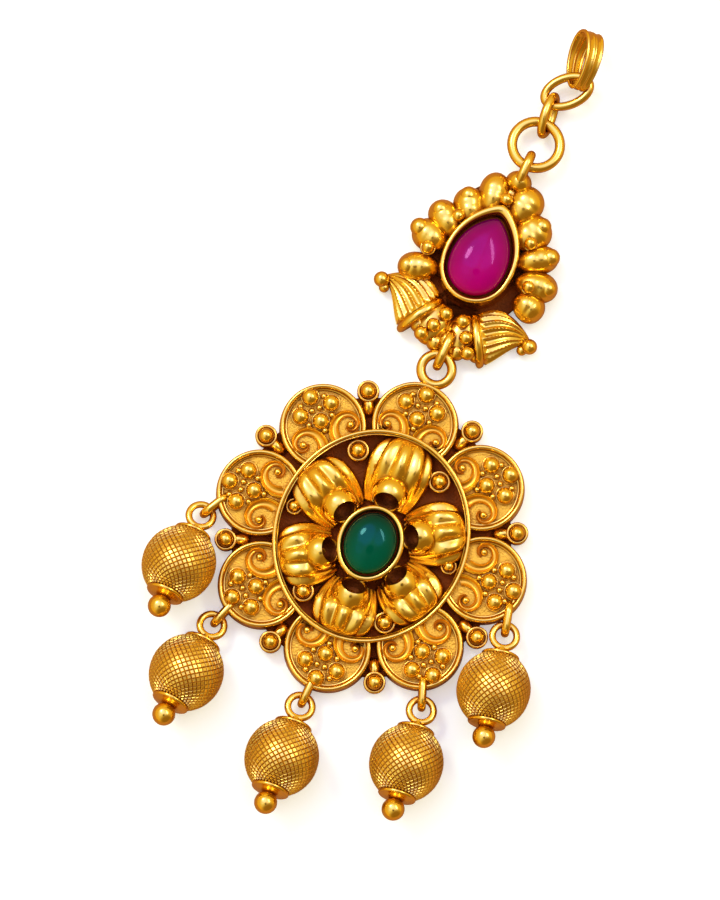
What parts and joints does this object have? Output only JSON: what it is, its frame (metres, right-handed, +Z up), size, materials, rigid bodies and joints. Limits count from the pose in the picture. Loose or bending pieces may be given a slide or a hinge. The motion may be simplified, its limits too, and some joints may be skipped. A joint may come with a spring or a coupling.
{
  "type": "maang tikka, a forehead ornament",
  "caption": "Gold forehead ornament: scalloped flower medallion with an oval green stone and bead drops, under a leafy plaque with a pear-shaped magenta stone and a hook on a short chain.",
  "frame": {"origin": "middle of the medallion's flat back, on the table", "axes": "+Z up from the table out of the medallion's face, +Y along the piece from the drops to the hook, +X to the right seen from above with the hook at the top"},
  "size_m": [0.0424, 0.0884, 0.0077],
  "materials": {
    "gold": "polished gold with an antiqued, darker ground in its recesses",
    "emerald": "polished deep green cabochon",
    "ruby": "polished magenta cabochon"
  },
  "bodies": {
    "root": {"medallion": "gold", "emerald_cabochon": "emerald", "upper_plaque": "gold", "ruby_cabochon": "ruby", "jump_ring": "gold", "chain_link_lower": "gold", "chain_link_upper": "gold", "hook_bail": "gold", "bead_drop_1": "gold", "bead_drop_2": "gold", "bead_drop_3": "gold", "bead_drop_4": "gold", "bead_drop_5": "gold"}
  },
  "joints": []
}
